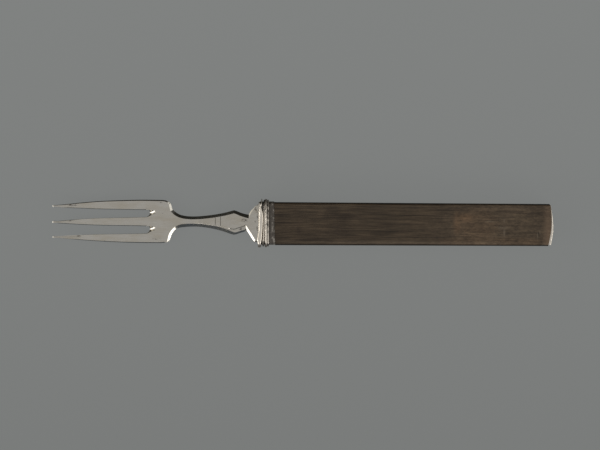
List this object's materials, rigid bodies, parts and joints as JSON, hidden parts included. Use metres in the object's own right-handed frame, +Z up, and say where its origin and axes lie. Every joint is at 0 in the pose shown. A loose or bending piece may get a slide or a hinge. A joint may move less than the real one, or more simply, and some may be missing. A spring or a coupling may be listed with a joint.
{
  "type": "table fork",
  "caption": "Old steel table fork with slender tines, a bevelled neck and wedge bolster, reeded silver collar and a flat dark hardwood handle.",
  "frame": {"origin": "on the table under the middle of the fork's length and width, level with the lowest reeds of the collar", "axes": "+X along the fork from the tine tips to the butt, +Y across the broad faces, +Z up out of the handle's upper broad face"},
  "size_m": [0.205, 0.02, 0.0122],
  "materials": {
    "forged_steel": "worn polish with fine scratches and a few rust pits",
    "silver": "silver, bright on the ridges and tarnished in the grooves",
    "dark_wood": "dense dark hardwood, waxed, dulled by handling",
    "cement": "set resin and brick dust, matt"
  },
  "bodies": {
    "root": {"fork_forging": "forged_steel", "collar_front_plate": "silver", "ferrule_sleeve": "silver", "front_reed": "silver", "middle_reed": "silver", "rear_reed": "silver", "handle_block": "dark_wood", "tang_cement": "cement", "butt_plate": "silver", "butt_plate_pins": "silver"}
  },
  "joints": []
}
